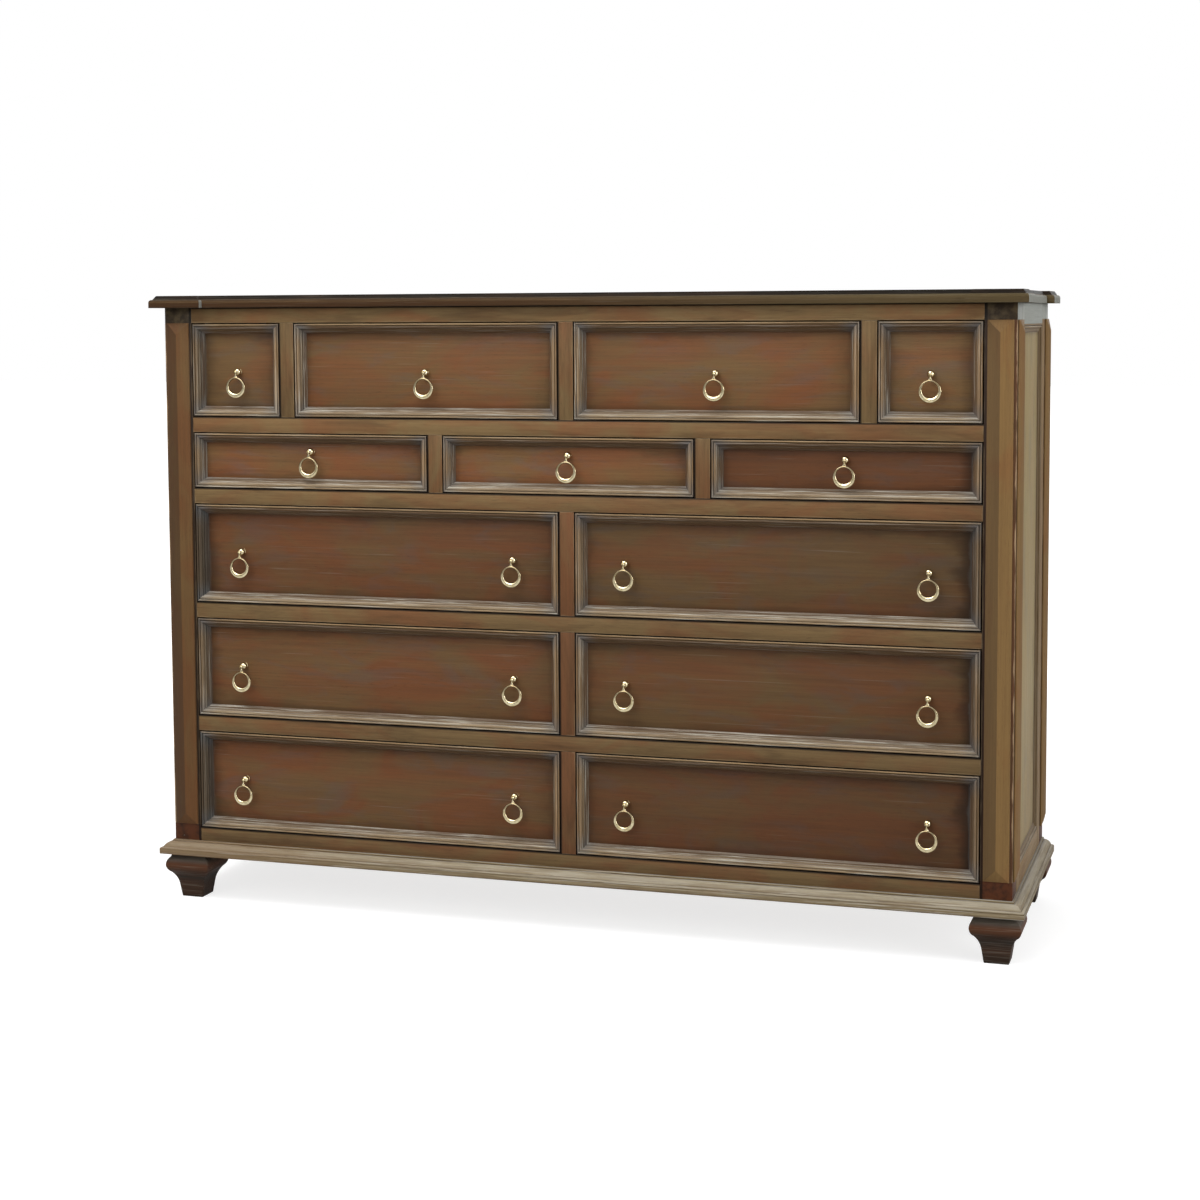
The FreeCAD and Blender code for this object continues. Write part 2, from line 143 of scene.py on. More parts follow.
# Softened arrises and rims
board_arris = 0.8 * MM
panel_arris = 0.5 * MM
pilaster_arris = 0.6 * MM
top_arris = 0.4 * MM
foot_arris = 1.2 * MM
turned_rim = 0.3 * MM
screw_rim = 0.6 * MM
tiny = 0.05 * MM

# Places read from the frame
rails_low, rails_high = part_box("face_frame_rails")
half_opening = rails_high.x
half_body = half_opening + post_side
front_y = rails_low.y
floor_of_body = rails_low.z
body_top = rails_high.z
rear_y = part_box("rear_left_post")[1].y

# Drawers: tone of the panel from 0 for the redder stain to 1 for the olive one, depth of its stain at the
# left and right ends, partly stain and partly painted shade that grows towards the lower right, and
# lightness of the left and right mouldings, which is painted light and shade
rows = [
    ("top", [("far_left", 0.9, 0.28, 0.29, 0.55, 1.0), ("left", 0.55, 0.27, 0.19, 1.0, 0.9),
             ("right", 0.55, 0.27, 0.19, 1.3, 1.0), ("far_right", 0.9, 0.2, 0.16, 1.0, 0.9)]),
    ("second", [("left", 0.45, 0.0, 0.2, 0.75, 0.95), ("centre", 0.45, 0.0, 0.14, 0.95, 1.1),
                ("right", -0.3, 0.49, 0.49, 0.75, 0.75)]),
    ("third", [("left", 0.4, 0.36, 0.48, 0.15, 1.0), ("right", 0.65, 0.43, 0.54, 1.0, 0.4)]),
    ("fourth", [("left", 0.4, 0.29, 0.38, 0.6, 0.85), ("right", 0.65, 0.41, 0.52, 1.0, 0.55)]),
    ("bottom", [("left", 0.4, 0.29, 0.42, 0.2, 0.95), ("right", 0.2, 0.5, 0.62, 1.0, 0.6)]),
]
# Rails and stiles: tone, and depth of the stain, partly stain and partly painted shade, which grows
# downwards and on the rails to the right
rail_tone = 0.7
rail_darkening_down = 0.32
rail_darkening_right = 0.08
upper_stile_tone = 0.75
lower_stile_tone = -0.2
stile_darkening = 0.2
stile_darkening_down = 0.15
# Posts: which way they stand from the middle, depth of the pilasters' stain and its tone
posts = {"left": (-1, 0.44, 0.25), "right": (1, 0.0, 1.0)}
# Lightness of a side panel's bottom moulding and of its other three: painted light and shade, paler on the
# bottom one
side_lightness = (1.0, 0.9, 0.9, 0.9)


# Makes shader nodes and links them from plain values or other nodes' outputs
class Nodes:
    def __init__(self, tree):
        self.tree = tree

    def put(self, socket, value):
        if isinstance(value, bpy.types.NodeSocket):
            self.tree.links.new(value, socket)
        else:
            socket.default_value = value

    # A node with settings, and with values for the inputs of those names or numbers
    def node(self, kind, values=None, **settings):
        node = self.tree.nodes.new(kind)
        for key, value in settings.items():
            setattr(node, key, value)
        for key, value in (values or {}).items():
            self.put(node.inputs[key], value)
        return node

    def attribute(self, name, output="Vector"):
        return self.node("ShaderNodeAttribute", attribute_name=name).outputs[output]

    def math(self, operation, first, second=0.0, clamp=False):
        values = {0: first, 1: second}
        return self.node("ShaderNodeMath", values, operation=operation, use_clamp=clamp).outputs[0]

    def vector(self, operation, first, second=(0, 0, 0), output=0):
        return self.node("ShaderNodeVectorMath", {0: first, 1: second}, operation=operation).outputs[output]

    def split(self, vector):
        return self.node("ShaderNodeSeparateXYZ", {0: vector}).outputs

    # One axis of a kind of coordinates, such as Object or Normal
    def coordinate(self, kind, axis):
        return self.split(self.node("ShaderNodeTexCoord").outputs[kind])[axis]

    # Noise with so many cells per metre along and across the grain
    def noise(self, along, across, detail=3.0, roughness=0.55, distortion=0.0, vector=None):
        place = self.attribute("grain") if vector is None else vector
        stretched = self.vector("MULTIPLY", place, (along, across, across))
        values = {"Vector": stretched, "Scale": 1.0, "Detail": detail, "Roughness": roughness,
                  "Distortion": distortion}
        return self.node("ShaderNodeTexNoise", values).outputs[0]

    # Small round spots in a share of the cells of a grid
    def spots(self, cells, radius, share):
        values = {"Vector": self.attribute("grain"), "Scale": cells}
        cell = self.node("ShaderNodeTexVoronoi", values).outputs
        near = self.spread(cell["Distance"], 0.3 * radius * cells, radius * cells, 1, 0)
        return self.math("MULTIPLY", near, self.math("LESS_THAN", self.split(cell["Color"])[0], share))

    # Goes smoothly from to_low to to_high while value goes from low to high
    def spread(self, value, low, high, to_low=0.0, to_high=1.0):
        values = {"Value": value, "From Min": low, "From Max": high, "To Min": to_low, "To Max": to_high}
        return self.node("ShaderNodeMapRange", values, interpolation_type="SMOOTHSTEP").outputs[0]

    # The same over the range that most of a noise fills
    def vary(self, noise, to_low, to_high):
        return self.spread(noise, *noise_range, to_low, to_high)

    def mix(self, amount, first, second):
        return self.node("ShaderNodeMix", {0: amount, 6: first, 7: second}, data_type="RGBA").outputs[2]

    def ramp(self, value, stops):
        node = self.node("ShaderNodeValToRGB", {0: value})
        points = node.color_ramp.elements
        for stop in stops[2:]:
            points.new(stop[0])
        for point, (place, tint) in zip(points, stops):
            point.position = place
            point.color = tint
        return node.outputs[0]


# A material with one principled surface
class Shade(Nodes):
    def __init__(self, name):
        self.material = bpy.data.materials.new(name)
        self.material.use_nodes = True
        super().__init__(self.material.node_tree)
        self.tree.nodes.clear()
        self.surface = self.node("ShaderNodeBsdfPrincipled")
        output = self.node("ShaderNodeOutputMaterial")
        self.tree.links.new(self.surface.outputs["BSDF"], output.inputs["Surface"])
        self.tint = None

    # Lays a colour over the tint
    def lay(self, amount, cover):
        self.tint = self.mix(amount, self.tint, cover)

    # Lays a colour over the tint, as much as spread gives
    def fade(self, cover, *values):
        self.lay(self.spread(*values), cover)

    def paint(self, roughness):
        self.put(self.surface.inputs["Base Color"], self.tint)
        self.put(self.surface.inputs["Roughness"], roughness)

    def bump(self, height, depth, strength):
        node = self.node("ShaderNodeBump", {"Height": height, "Distance": depth, "Strength": strength})
        self.put(self.surface.inputs["Normal"], node.outputs[0])


# A colour written as display red, green and blue from 0 to 255
def colour(red, green, blue):
    def linear(value):
        value /= 255
        return value / 12.92 if value <= 0.04045 else ((value + 0.055) / 1.055) ** 2.4
    return (linear(red), linear(green), linear(blue), 1.0)


def colours(*tints):
    return [colour(*tint) for tint in tints]


# Colours that several woods share
wax = colour(180, 175, 162)
# Pale grey on the side-facing faces near the top
cap_grey = colour(157, 160, 154)
blue_wax = colour(92, 93, 92)
mitre_wax = colour(78, 86, 92)
# Painted shade that a moulding strip goes towards, the more the lower its lightness
strip_shade = colour(41, 40, 38)
dark = colour(42, 30, 21)
# Near black painted shade in the gaps between parts
gap_dark = colour(10, 7, 5)
# Painted shade on the outer side of a moulding, which lines a gap
edge_dark = colour(36, 26, 19)

# Marks: cells per metre along and across the grain, then detail, roughness and distortion of a noise
blotches = (5.5, 13, 3, 0.6, 0.8)
ribbons = (1.6, 52, 4, 0.62, 0.6)
fibres = (7, 300, 4, 0.62)
fine_fibres = (8, 380, 3, 0.6)
open_pores = (60, 1500, 1)
rub_marks = (18, 60, 3)
glaze = (5, 34, 4, 0.65, 0.5)
scratches = (5, 330, 2)
clouds = (8, 26, 4, 0.6, 0.8)
margins = (9, 24, 4)
mottles = (60, 60, 4, 0.6)
moulding_patches = (7, 46, 4, 0.65)
moulding_fibres = (9, 420, 3, 0.6)
wax_chips = (9, 560, 3)
bare_figure = (1.2, 26, 4, 0.6, 1.2)
bare_fibres = (9, 260, 4, 0.6)
brass_clouds = (170, 170, 3, 0.6)
brass_grit = (1500, 1500, 2, 0.6)
knots = (5, 3.5 * MM, 0.25)  # cells per metre, radius and share of the cells

# From where to where a noise, a normal or a distance counts
noise_range = (0.3, 0.7)
turned = (0.5, 0.9)
shadow_line = (1.2 * MM, 3.4 * MM)
beside_pilaster = (4 * MM, 6 * MM)
near_mitre = (6 * MM, 45 * MM)
dimmed_top = (-4 * MM, 14 * MM)
outer_panels = (0.5, 0.72)
left_end = (-0.75, -0.25)
olive_end = (-0.3, 0.8)

# Widths along arrises and round the panels, where the panels darken as partly glaze and partly painted shade
rub_width = 2 * MM
rub_unevenness = 1.4 * MM
post_rub_width = 2.2 * MM
end_shade = 36 * MM
rim_shade = 13 * MM
end_haze = 5 * MM
head_shade = 11 * MM
foot_shade = 12 * MM

board_roughness = 0.48
panel_roughness = 0.46
moulding_roughness = 0.5
outer_edge = -0.1  # run of a moulding's outer side, which lines a gap


# Distances from a point of a board to the board's ends along each axis
def end_distances(shade):
    local = shade.vector("ABSOLUTE", shade.attribute("local"))
    return shade.split(shade.vector("SUBTRACT", shade.attribute("half"), local))


# Distance from a point of a board to the nearest arris of the board
def arris_distance(shade):
    gaps = end_distances(shade)
    low = shade.math("MINIMUM", gaps[0], gaps[1])
    high = shade.math("MAXIMUM", gaps[0], gaps[1])
    return shade.math("MAXIMUM", low, shade.math("MINIMUM", high, gaps[2]))


# How far a point of a board is from the board's end, on the side of an axis that sign gives
def from_end(shade, axis, sign):
    place = shade.split(shade.attribute("local"))[axis]
    half = shade.split(shade.attribute("half"))[axis]
    return shade.math("SUBTRACT", half, shade.math("MULTIPLY", place, sign))


# How far a face turns along one axis, from 0 to 1
def facing(shade, axis):
    return shade.math("ABSOLUTE", shade.coordinate("Normal", axis))


# A wood with two stains in soft blotches, darker ribbons, faint fibres and a few pin knots
def stained_wood(name, red, olive, streak):
    shade = Shade(name)
    lean = shade.vary(shade.noise(*blotches), -0.55, 0.55)
    shade.tint = shade.mix(shade.math("ADD", shade.attribute("tone", "Fac"), lean, True), red, olive)
    shade.fade(streak, shade.noise(*ribbons), 0.46, 0.75, 0, 0.24)
    shade.lay(shade.vary(shade.noise(*fibres), 0.28, 0), streak)
    shade.lay(shade.math("MULTIPLY", shade.spots(*knots), 0.7), dark)
    return shade


# Makes the arrises lighter, as if rubbed
def rub_arrises(shade, wear, width, amount):
    uneven = shade.vary(shade.noise(*rub_marks), -rub_unevenness, rub_unevenness)
    ragged = shade.math("ADD", arris_distance(shade), uneven)
    shade.fade(wear, ragged, 0, width, amount, 0)


# Open pores, sheen and fine relief, the last steps of every finished wood
def finish_wood(shade, roughness, sheen=0.12):
    fibre = shade.noise(*fine_fibres)
    pores = shade.spread(shade.noise(*open_pores), 0.64, 0.72)
    shade.lay(shade.math("MULTIPLY", pores, 0.3), dark)
    shade.paint(shade.spread(fibre, 0.25, 0.75, roughness - 0.06, roughness + 0.1))
    shade.surface.inputs["Specular IOR Level"].default_value = sheen
    shade.bump(shade.math("SUBTRACT", fibre, shade.math("MULTIPLY", pores, 0.5)), 0.25 * MM, 0.5)
    return shade.material


# A board of a frame, with near black painted shade on the edges that line a gap; face is the axis that its
# show face looks along. shadow is the axis and the sign of a long edge that gets a painted shadow line,
# grey_above the height above which it is pale grey. The attribute run is the depth of the stain, partly
# stain and partly painted shade.
def frame_board(name, face, stains, wear, shadow=None, grey_above=None):
    shade = stained_wood(name, *stains)
    shade.fade(stains[2], shade.noise(*glaze), 0.45, 0.72, 0, 0.55)
    rub_arrises(shade, wear, rub_width, 0.4)
    shade.lay(shade.attribute("run", "Fac"), dark)
    if shadow:
        # Painted shadow line along one long edge
        shade.fade(gap_dark, from_end(shade, *shadow), *shadow_line, 0.85, 0)
    # Pale grey above a given height
    if grey_above:
        height = shade.coordinate("Object", 2)
        shade.fade(cap_grey, height, grey_above - MM, grey_above + MM, 0, 0.92)
    # Painted shade on the faces that line a gap
    shade.fade(gap_dark, facing(shade, face), *turned, 1, 0)
    return finish_wood(shade, board_roughness)


def board_wood(name, stains, wear):
    shade = stained_wood(name, *stains)
    rub_arrises(shade, wear, rub_width, 0.2)
    return finish_wood(shade, board_roughness)


# A pilaster, with painted shade that makes the faces that look to the left greyer and darker. The attribute
# run is the depth of the stain.
def pilaster_stain(name, stains, wear, grey):
    shade = stained_wood(name, *stains)
    rub_arrises(shade, wear, rub_width, 0.6)
    # Painted shade on the faces that look to the left
    shade.fade(grey, shade.coordinate("Normal", 0), -0.25, 0.1, 0.54, 0)
    shade.lay(shade.attribute("run", "Fac"), dark)
    return finish_wood(shade, board_roughness)


# A sunk panel, darker beside its moulding and most at the dresser's own ends, partly glaze and partly
# painted shade, with a trace of wax and a few long scratches; across is the axis that it is wide along. The
# attribute run is the depth of the stain, partly stain and partly painted shade.
def panel_wood(name, across, stains, margin, end_shadow):
    shade = stained_wood(name, *stains)
    shade.fade(wax, shade.noise(*scratches), 0.66, 0.74, 0, 0.16)
    shade.fade(blue_wax, shade.noise(*clouds), 0.48, 0.7, 0, 0.26)
    depth = shade.attribute("run", "Fac")
    shade.lay(depth, dark)
    uneven = shade.vary(shade.noise(*margins), 0.5, 1.7)

    def inside(distance):
        return shade.math("MULTIPLY", shade.math("SUBTRACT", distance, margin), uneven)

    place = shade.math("ABSOLUTE", shade.coordinate("Object", 0))
    outer = shade.spread(place, *outer_panels, 0, 1.2)
    ends = shade.math("ADD", end_shadow, shade.math("MULTIPLY", outer, depth), True)
    beside = inside(end_distances(shade)[across])
    # Darker beside the moulding: partly glaze and partly painted shade in the recess
    shade.fade(dark, beside, 0, end_shade, ends, 0)
    shade.fade(dark, beside, 0, rim_shade, 0.26, 0)
    shade.fade(blue_wax, beside, 0, end_haze, shade.math("MULTIPLY", ends, 0.5), 0)
    shade.fade(dark, inside(from_end(shade, 2, 1)), 0, head_shade, 0.38, 0)
    shade.fade(dark, inside(from_end(shade, 2, -1)), 0, foot_shade, 0.3, 0)
    return finish_wood(shade, panel_roughness)


# A post, with near black painted shade where it shows beside its pilasters, and a light worn corner; the cap
# and the plinth have their own stains, and the sides of the cap are pale grey. The attribute run is the
# distance from the opening.
def post_wood(name, stains, wear):
    shade = stained_wood(name, *stains)
    rub_arrises(shade, wear, post_rub_width, 0.8)
    mottle = shade.noise(*mottles)
    cap = shade.mix(shade.spread(mottle, 0.4, 0.7), colour(47, 39, 28), colour(82, 70, 50))
    cap = shade.mix(shade.spread(facing(shade, 0), *turned), cap, cap_grey)
    from_top = from_end(shade, 2, 1)
    shade.fade(cap, from_top, cap_height - MM, cap_height + MM, 0.92, 0)
    plinth = shade.mix(shade.spread(mottle, 0.42, 0.66), colour(84, 46, 27), colour(54, 32, 22))
    plinth = shade.mix(shade.spread(mottle, 0.66, 0.72, 0, 0.6), plinth, wax)
    from_foot = from_end(shade, 2, -1)
    shade.fade(plinth, from_foot, plinth_height - MM, plinth_height + MM, 0.88, 0)
    # Painted shade on the strip of post beside the pilasters
    shade.fade(gap_dark, shade.attribute("run", "Fac"), *beside_pilaster, 0.8, 0)
    return finish_wood(shade, panel_roughness)


# Moulded wood: bands across the outline, stain that shows through in patches, flecks of wax, and wax with
# painted light from above on the ledges. The attribute run is the place across the bands, and tone the
# lightness of a strip, which darkens it towards a grey as painted shade. end_grey makes the top more olive
# to the right below its slope and paints its side-facing ends pale grey, left_stain is how much more stain
# shows at the left end, and in_mitres how much cool wax lies near the mitres.
def moulded_wood(name, bands, stain, streak, ledge_wax_and_light, flecks, streaks=0.35, sheen=0.12, end_grey=0,
                 left_stain=0, in_mitres=0):
    shade = Shade(name)
    place = shade.attribute("run", "Fac")
    along = shade.coordinate("Object", 0)
    patch = shade.noise(*moulding_patches)
    shade.tint = shade.ramp(shade.math("ADD", place, shade.vary(patch, -0.02, 0.02)), bands)
    shade.fade(stain, patch, 0.45, 0.68, 0, 0.32)
    shade.lay(shade.vary(shade.noise(*moulding_fibres), streaks, 0), streak)
    # The top goes more olive to the right below its slope, and pale grey on its side-facing ends
    if end_grey:
        below_slope = shade.spread(place, 0.6, 0.66, end_grey, 0)
        to_right = shade.math("MULTIPLY", below_slope, shade.spread(along, *olive_end))
        shade.lay(to_right, colour(86, 76, 52))
        sideways = shade.spread(facing(shade, 0), *turned)
        shade.lay(shade.math("MULTIPLY", below_slope, sideways), cap_grey)
    # Painted shade: the lower a strip's lightness, the more it goes towards the grey
    lightness = shade.attribute("tone", "Fac")
    shade.fade(strip_shade, lightness, 0, 1, 0.72, 0)
    if in_mitres:
        gaps = end_distances(shade)
        mitre = shade.math("MAXIMUM", gaps[0], shade.math("MAXIMUM", gaps[1], gaps[2]))
        shade.fade(mitre_wax, mitre, *near_mitre, in_mitres, 0)
    # Up-facing ledges go paler: partly wax and partly painted light from above
    ledge = shade.spread(shade.coordinate("Normal", 2), 0.1, 0.7, 0, ledge_wax_and_light)
    ledge = shade.math("MULTIPLY", ledge, shade.spread(patch, 0.35, 0.62, 1, 0.4))
    chips = shade.spread(shade.noise(*wax_chips), 0.53, 0.66, 0, flecks)
    waxed = shade.math("MULTIPLY", shade.math("MAXIMUM", ledge, chips), lightness)
    shade.lay(waxed, wax)
    if left_stain:
        shade.fade(stain, along, *left_end, left_stain, 0)
    # Painted shade on the moulding's outer side, which lines a gap
    shade.lay(shade.math("LESS_THAN", place, outer_edge / 2), edge_dark)
    return finish_wood(shade, moulding_roughness, sheen)


# Wood without a finish; a CAD solid has no grain of its own, so its place is used
def bare_wood(name, has_grain):
    shade = Shade(name)
    place = None if has_grain else shade.node("ShaderNodeTexCoord").outputs["Object"]
    fibre = shade.noise(*bare_fibres, vector=place)
    figure = shade.noise(*bare_figure, vector=place)
    shade.tint = shade.mix(shade.spread(figure, 0.35, 0.65), colour(186, 150, 108), colour(164, 124, 84))
    shade.fade(colour(124, 90, 60), fibre, 0.3, 0.6, 0.4, 0)
    shade.paint(shade.vary(fibre, 0.6, 0.75))
    shade.bump(fibre, 0.2 * MM, 0.4)
    return shade.material


# Brass, darker towards the top of each solid as painted shade for the dim reflections there
def polished_brass(name, top_dimming):
    shade = Shade(name)
    place = shade.node("ShaderNodeTexCoord").outputs["Object"]
    cloud = shade.noise(*brass_clouds, vector=place)
    grit = shade.noise(*brass_grit, vector=place)
    shade.tint = shade.mix(shade.spread(cloud, 0.4, 0.7), colour(226, 213, 176), colour(196, 180, 138))
    height = shade.split(shade.attribute("local"))[2]
    # Painted shade for dim reflections, darker towards the top
    shade.fade(colour(112, 92, 64), height, *dimmed_top, 0, top_dimming)
    shade.paint(shade.vary(cloud, 0.12, 0.24))
    shade.surface.inputs["Metallic"].default_value = 1.0
    shade.bump(shade.math("ADD", cloud, shade.math("MULTIPLY", grit, 0.3)), 0.2 * MM, 0.2)
    return shade.material


# Bands across a moulding: the share of the way across, then a colour
def band_colours(*stops):
    return [(place, colour(*tint)) for place, *tint in stops]


# From the outer edge of a drawer moulding to its toe, for the four sides of a drawer, each side with its own
# painted light and shade: paler on the bottom one, darker on the top one
bottom_bands = band_colours(
    (0.0, 84, 67, 47), (0.06, 146, 124, 95), (0.14, 164, 142, 112), (0.19, 142, 122, 95),
    (0.3, 192, 168, 134), (0.4, 150, 130, 103), (0.52, 128, 110, 88), (0.556, 96, 80, 61),
    (0.62, 144, 126, 102), (0.71, 104, 88, 70), (0.78, 102, 85, 67), (0.87, 76, 58, 42), (1.0, 82, 60, 42))
right_bands = band_colours(
    (0.0, 76, 58, 39), (0.06, 134, 108, 77), (0.14, 138, 112, 80), (0.19, 110, 88, 62),
    (0.28, 166, 138, 104), (0.4, 144, 118, 88), (0.54, 112, 89, 64), (0.62, 114, 91, 65),
    (0.77, 98, 76, 53), (0.87, 86, 63, 42), (1.0, 94, 69, 47))
top_strip_bands = band_colours(
    (0.0, 166, 140, 104), (0.12, 142, 117, 85), (0.19, 98, 79, 55), (0.26, 90, 70, 47), (0.4, 66, 49, 33),
    (0.5, 84, 65, 45), (0.62, 102, 80, 55), (0.77, 96, 74, 51), (0.87, 80, 58, 40), (1.0, 104, 79, 55))
left_bands = band_colours(
    (0.0, 122, 99, 72), (0.12, 134, 109, 80), (0.19, 118, 96, 70), (0.3, 160, 133, 101),
    (0.4, 132, 112, 86), (0.5, 122, 102, 77), (0.62, 132, 114, 90), (0.7, 88, 73, 57),
    (0.77, 106, 89, 70), (0.87, 80, 63, 48), (0.95, 92, 74, 57), (1.0, 116, 104, 88))
# Across the moulding of a side panel
side_bands = band_colours(
    (0.0, 140, 118, 86), (0.14, 132, 112, 82), (0.17, 70, 52, 36), (0.22, 64, 48, 33),
    (0.28, 128, 108, 80), (0.45, 136, 116, 86), (0.52, 80, 62, 44), (0.58, 118, 99, 73),
    (0.7, 124, 105, 78), (0.86, 112, 94, 69), (1.0, 84, 64, 44))
# From the bead of the base down to its underside
base_bands = band_colours(
    (0.0, 60, 48, 34), (0.05, 124, 110, 83), (0.09, 112, 97, 72), (0.12, 48, 38, 26), (0.15, 56, 45, 31),
    (0.19, 134, 121, 94), (0.4, 138, 125, 97), (0.54, 128, 112, 84), (0.575, 62, 51, 36),
    (0.6, 148, 134, 105), (0.68, 138, 124, 96), (0.76, 94, 80, 59), (0.8, 150, 136, 108),
    (0.92, 136, 121, 94), (1.0, 80, 64, 45))
# From the underside of the top up to its upper face
top_bands = band_colours(
    (0.0, 38, 27, 18), (0.05, 62, 43, 28), (0.3, 68, 48, 31), (0.36, 84, 64, 43), (0.5, 58, 43, 28),
    (0.58, 44, 34, 23), (0.635, 112, 99, 77), (0.68, 24, 20, 15), (0.95, 14, 12, 9), (1.0, 46, 34, 24))
# From the floor up to the top of a foot, its top near black as painted shadow under the base
foot_bands = band_colours(
    (0.0, 44, 33, 25), (0.25, 62, 45, 33), (0.45, 46, 40, 34), (0.6, 64, 42, 28), (0.75, 92, 58, 38),
    (0.85, 52, 36, 25), (1.0, 20, 16, 13))

# Stains: the redder one, the olive one and that of the streaks
drawer_panel = panel_wood("drawer_panel_wood", 0, colours((130, 82, 50), (121, 94, 60), (84, 60, 43)),
                          moulding_width, end_shadow=0.08)
side_field = panel_wood("side_panel_wood", 1, colours((152, 130, 89), (152, 135, 94), (132, 110, 74)),
                        side_moulding_width, end_shadow=0.4)
face_stains = colours((125, 83, 53), (125, 102, 68), (78, 58, 38))
face_wear = colour(152, 130, 98)
rail_wood = frame_board("rail_wood", 1, face_stains, face_wear, shadow=(2, 1))
stile_wood = frame_board("stile_wood", 1, face_stains, face_wear, shadow=(0, -1))
side_frame_wood = frame_board("side_frame_wood", 0, colours((130, 101, 68), (136, 113, 80), (92, 70, 48)),
                              colour(152, 132, 102), grey_above=body_top - cap_height)
grey_cap_wood = board_wood("grey_cap_wood", (colour(148, 150, 144), cap_grey, colour(138, 138, 130)),
                        colour(156, 155, 146))
corner_wood = post_wood("post_wood", colours((88, 58, 38), (84, 62, 42), (60, 42, 29)),
                        colour(168, 142, 110))
pilaster_wood = pilaster_stain("pilaster_wood", colours((126, 85, 50), (128, 100, 61), (88, 65, 41)),
                               colour(156, 130, 96), grey=colour(62, 49, 36))
# Mouldings of a drawer from the bottom one round to the left one, each with its own painted light and shade
# in its bands, with wax and painted light from above on their ledges and wax in flecks
drawer_mouldings = [
    moulded_wood(side + "_moulding_wood", strip_bands, colour(98, 72, 48), colour(66, 50, 35), ledge_wax_and_light,
                 flecks, in_mitres=0.45)
    for side, strip_bands, ledge_wax_and_light, flecks in (
        ("bottom", bottom_bands, 0.2, 0.8), ("right", right_bands, 0.1, 0.4),
        ("top", top_strip_bands, 0, 0.2), ("left", left_bands, 0.1, 0.6))
]
side_moulding_wood = moulded_wood("side_moulding_wood", side_bands, colour(112, 88, 60), colour(88, 68, 47),
                                  ledge_wax_and_light=0.4, flecks=0.15)
base_wood = moulded_wood("base_moulding_wood", base_bands, colour(112, 88, 61), colour(76, 61, 42),
                         ledge_wax_and_light=0.4, flecks=0.6, streaks=0.5, left_stain=0.6)
top_wood = moulded_wood("top_wood", top_bands, colour(60, 42, 29), colour(34, 26, 19), ledge_wax_and_light=0,
                        flecks=0.03, streaks=0.3, sheen=0.03, end_grey=0.6)
foot_wood = moulded_wood("foot_wood", foot_bands, colour(76, 46, 30), colour(30, 23, 18), ledge_wax_and_light=0.2,
                         flecks=0.12, streaks=0.15)
inner_wood = bare_wood("inner_wood", has_grain=True)
inner_wood_solid = bare_wood("inner_wood_solid", has_grain=False)
stud_brass = polished_brass("stud_brass", top_dimming=0.5)
ring_brass = polished_brass("ring_brass", top_dimming=0.7)


def new_object(name, data):
    thing = bpy.data.objects.new(name, data)
    bpy.context.scene.collection.objects.link(thing)
    return thing


